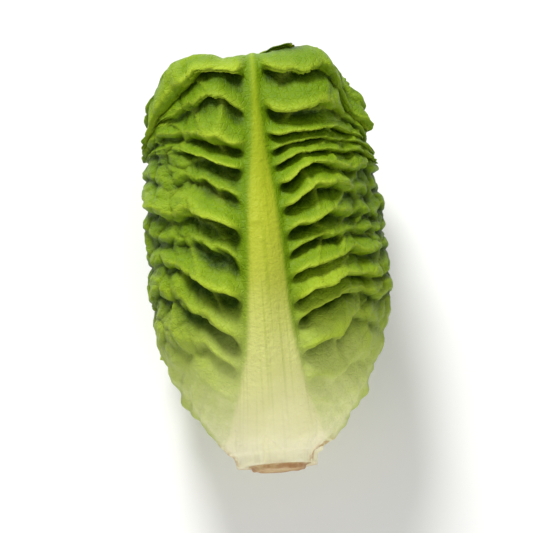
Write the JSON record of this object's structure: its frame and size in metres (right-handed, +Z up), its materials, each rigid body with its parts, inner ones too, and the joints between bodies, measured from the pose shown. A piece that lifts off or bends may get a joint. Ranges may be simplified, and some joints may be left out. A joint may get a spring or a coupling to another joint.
{
  "type": "lettuce heart",
  "caption": "Small upright lettuce heart lying on its side: a trimmed stem, wrapped leaves with a broad pale midrib and deep side folds, round a closed heart.",
  "frame": {"origin": "middle of the head's footprint, on the surface it lies on", "axes": "+Y from the cut stem to the crown, +Z up, +X to the right seen from the stem end"},
  "size_m": [0.073, 0.1192, 0.0746],
  "materials": {
    "stem": "moist cut stem",
    "heart": "waxy leaf",
    "leaf_1": "waxy leaf",
    "leaf_2": "waxy leaf",
    "leaf_3": "waxy leaf",
    "leaf_4": "waxy leaf",
    "leaf_5": "waxy leaf",
    "leaf_6": "waxy leaf",
    "leaf_7": "waxy leaf",
    "leaf_8": "waxy leaf",
    "leaf_9": "waxy leaf"
  },
  "bodies": {
    "root": {"stem": "stem", "heart": "heart", "leaf_1": "leaf_1", "leaf_2": "leaf_2", "leaf_3": "leaf_3", "leaf_4": "leaf_4", "leaf_5": "leaf_5", "leaf_6": "leaf_6", "leaf_7": "leaf_7", "leaf_8": "leaf_8", "leaf_9": "leaf_9"}
  },
  "joints": []
}
